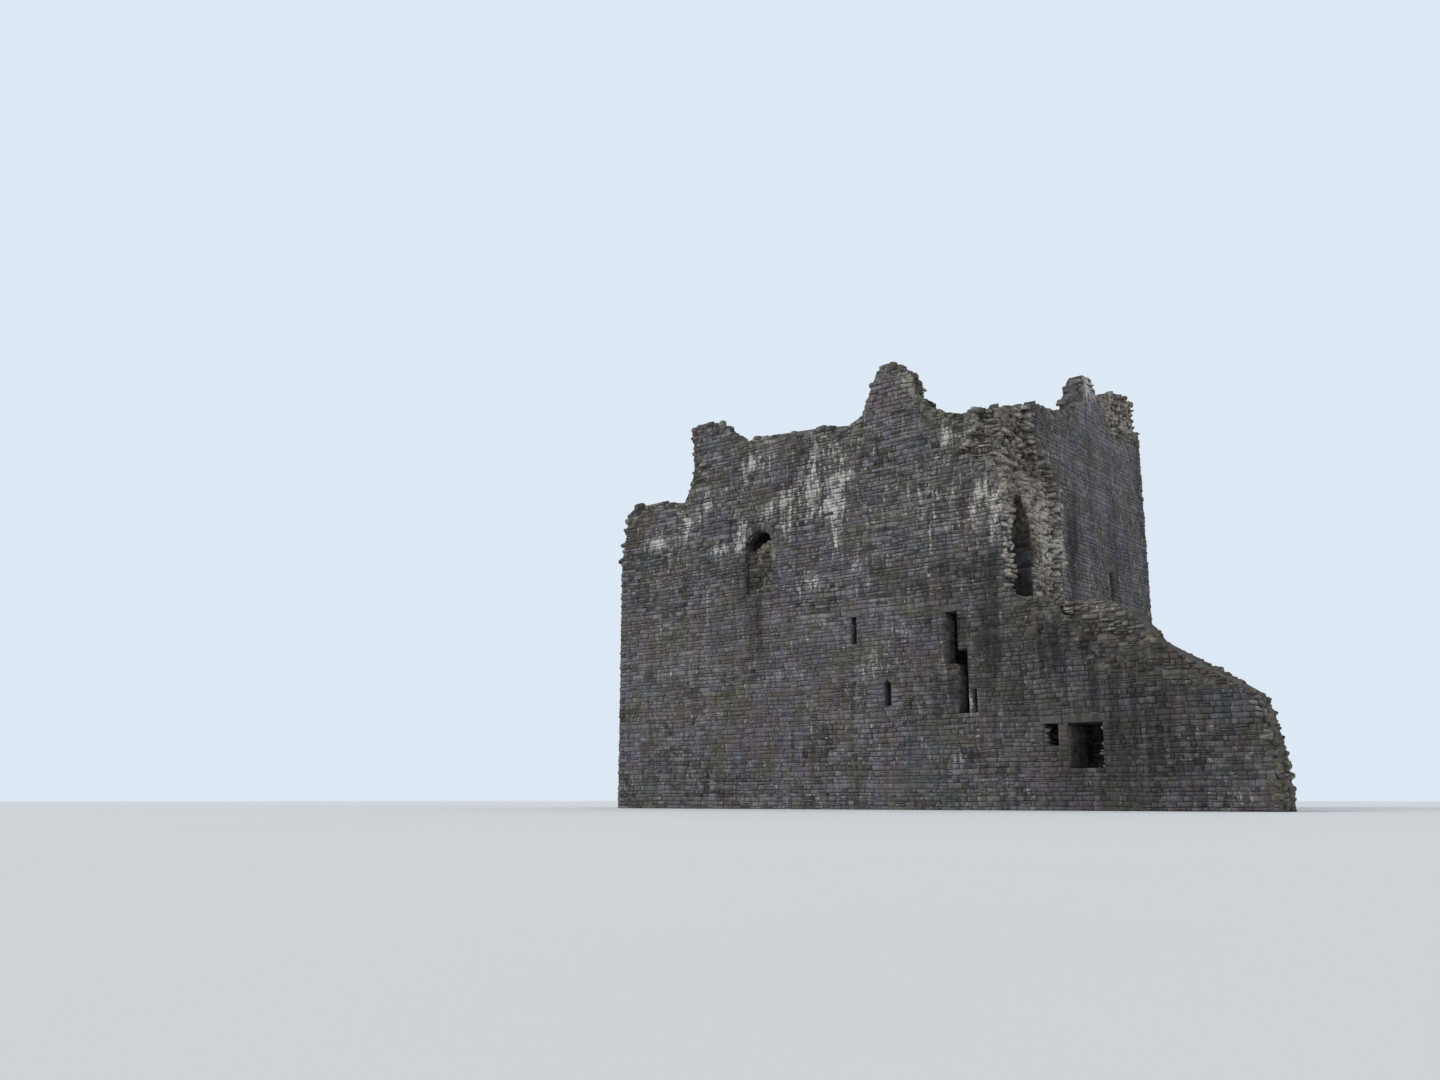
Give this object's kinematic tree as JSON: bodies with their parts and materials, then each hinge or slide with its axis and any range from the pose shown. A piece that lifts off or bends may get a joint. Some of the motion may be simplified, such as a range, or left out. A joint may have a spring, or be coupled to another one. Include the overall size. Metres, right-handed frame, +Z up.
{
  "type": "ruined castle keep",
  "caption": "Roofless rectangular stone keep with broken wall tops, a robbed corner doorway, a blocked round-headed window, loops and the sloping stub of a forebuilding.",
  "frame": {"origin": "the lowest ground that the walls reach, in the middle of the whole plan of keep and forebuilding", "axes": "+Z up, +X along the front from the low broken end to the forebuilding, -Y out of the front face"},
  "size_m": [23.3, 11.2, 15.2],
  "materials": {
    "facing": "coursed grey rubble, weathered",
    "dressed_stone": "roughly dressed grey stone",
    "rubble_core": "rubble and pale lime mortar, broken"
  },
  "bodies": {
    "root": {"lower_front_wall": "facing", "lower_corner": "facing", "lower_end_wall": "facing", "lower_rear_wall": "facing", "lower_west_wall": "facing", "upper_front_west": "facing", "front_window_sill": "facing", "front_window_wall": "facing", "upper_front_middle": "facing", "corner_outer_skin": "facing", "corner_hall_skin": "facing", "upper_end_wall": "facing", "upper_rear_east": "facing", "rear_window_sill": "facing", "rear_window_wall": "facing", "upper_rear_west": "facing", "upper_west_wall": "facing", "fore_front_near": "facing", "fore_front_far": "facing", "fore_rear_wall": "facing", "front_window_arch": "dressed_stone", "front_window_rear_arch": "dressed_stone", "rear_window_arch": "dressed_stone", "rear_window_rear_arch": "dressed_stone", "front_lintels": "dressed_stone", "inner_door_lintel": "dressed_stone", "end_loop_lintel": "dressed_stone", "rear_lintels": "dressed_stone", "west_loop_lintel": "dressed_stone", "fore_low_lintels": "dressed_stone", "front_window_blocking": "rubble_core", "corner_crown": "rubble_core", "doorway_head": "rubble_core", "doorway_jamb": "rubble_core", "fore_core": "rubble_core"}
  },
  "joints": []
}
